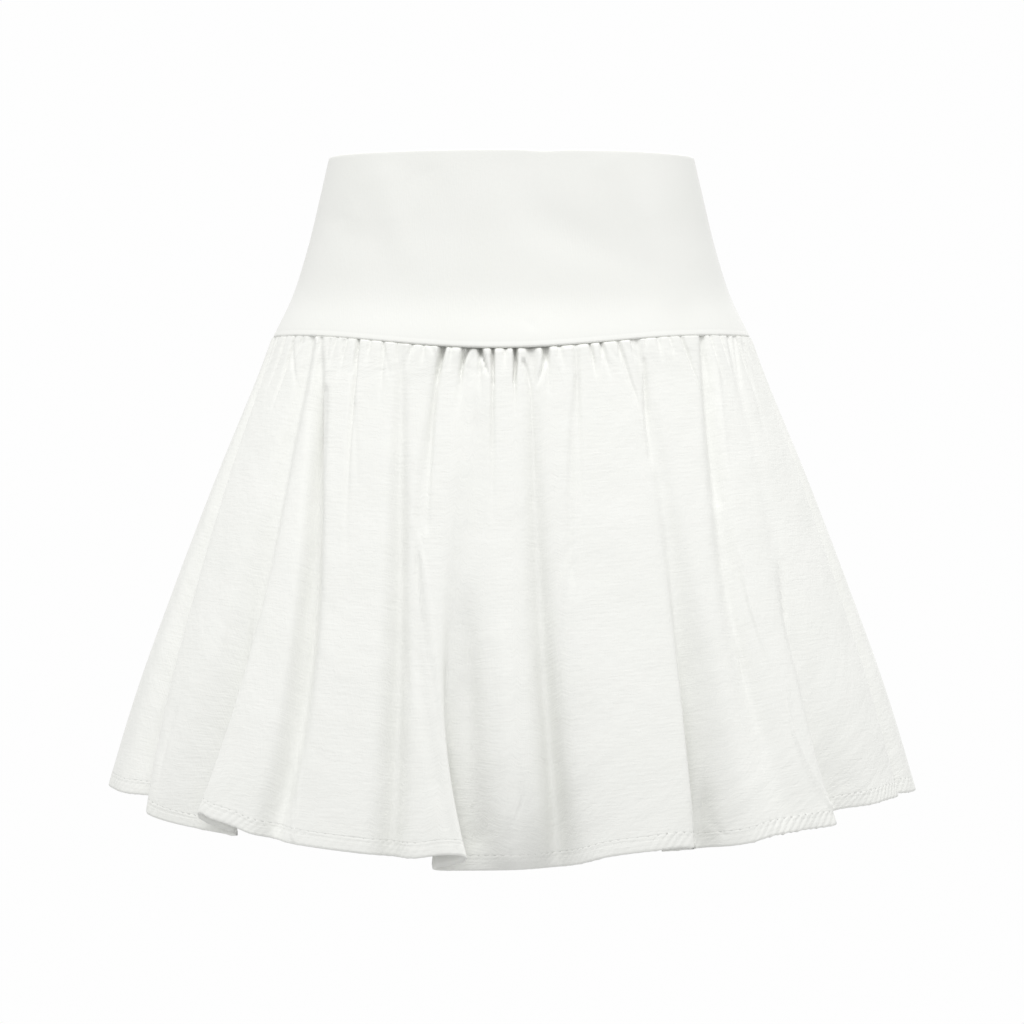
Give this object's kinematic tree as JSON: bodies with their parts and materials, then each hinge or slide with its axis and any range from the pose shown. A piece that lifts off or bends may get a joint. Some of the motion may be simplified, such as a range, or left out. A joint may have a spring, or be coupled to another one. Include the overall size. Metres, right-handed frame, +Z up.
{
  "type": "pleated mini skirt",
  "caption": "High-waisted flared mini skirt with a smooth wide yoke and a gathered, fluted lower part, open at waist and hem.",
  "frame": {"origin": "centre of the waist opening, in the plane of its upper edge, where a body holds the skirt", "axes": "+Z up out of the waist, -Y towards the front of the skirt, +X towards the wearer's left"},
  "size_m": [0.5246, 0.417, 0.4505],
  "materials": {
    "yoke_cloth": "smooth firm knit, matt with a soft sheen",
    "flounce_cloth": "plain-woven cotton with a fine slub and light creases, matt"
  },
  "bodies": {
    "root": {"yoke_front": "yoke_cloth", "yoke_back": "yoke_cloth", "skirt_front": "flounce_cloth", "skirt_back": "flounce_cloth"}
  },
  "joints": []
}
